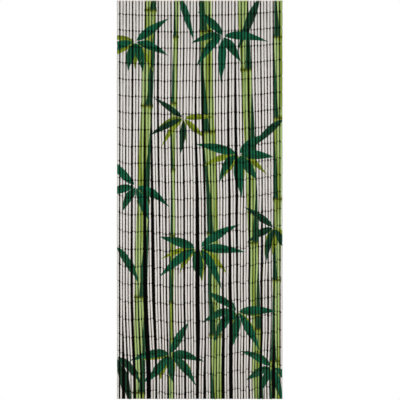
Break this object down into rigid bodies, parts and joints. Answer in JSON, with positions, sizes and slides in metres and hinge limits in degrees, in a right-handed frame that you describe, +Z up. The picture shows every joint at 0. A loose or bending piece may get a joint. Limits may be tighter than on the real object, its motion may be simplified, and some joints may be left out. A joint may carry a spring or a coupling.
{
  "type": "bamboo door curtain",
  "caption": "Door curtain of painted bamboo tubes linked into strands that hang side by side from a slim heading strip, with a bamboo plant print on its front.",
  "frame": {"origin": "middle of the top edge, where the strands' middles and the heading strip's top meet", "axes": "+Z up along the hanging strands, +X to the right seen from the painted front, and the front faces -Y"},
  "size_m": [0.9, 0.0156, 2.165],
  "materials": {
    "painted_bamboo": "off-white paint with a green plant print on the front, bare pale bamboo at the sides and the back"
  },
  "bodies": {
    "root": {"bamboo_strands": "painted_bamboo"}
  },
  "joints": []
}
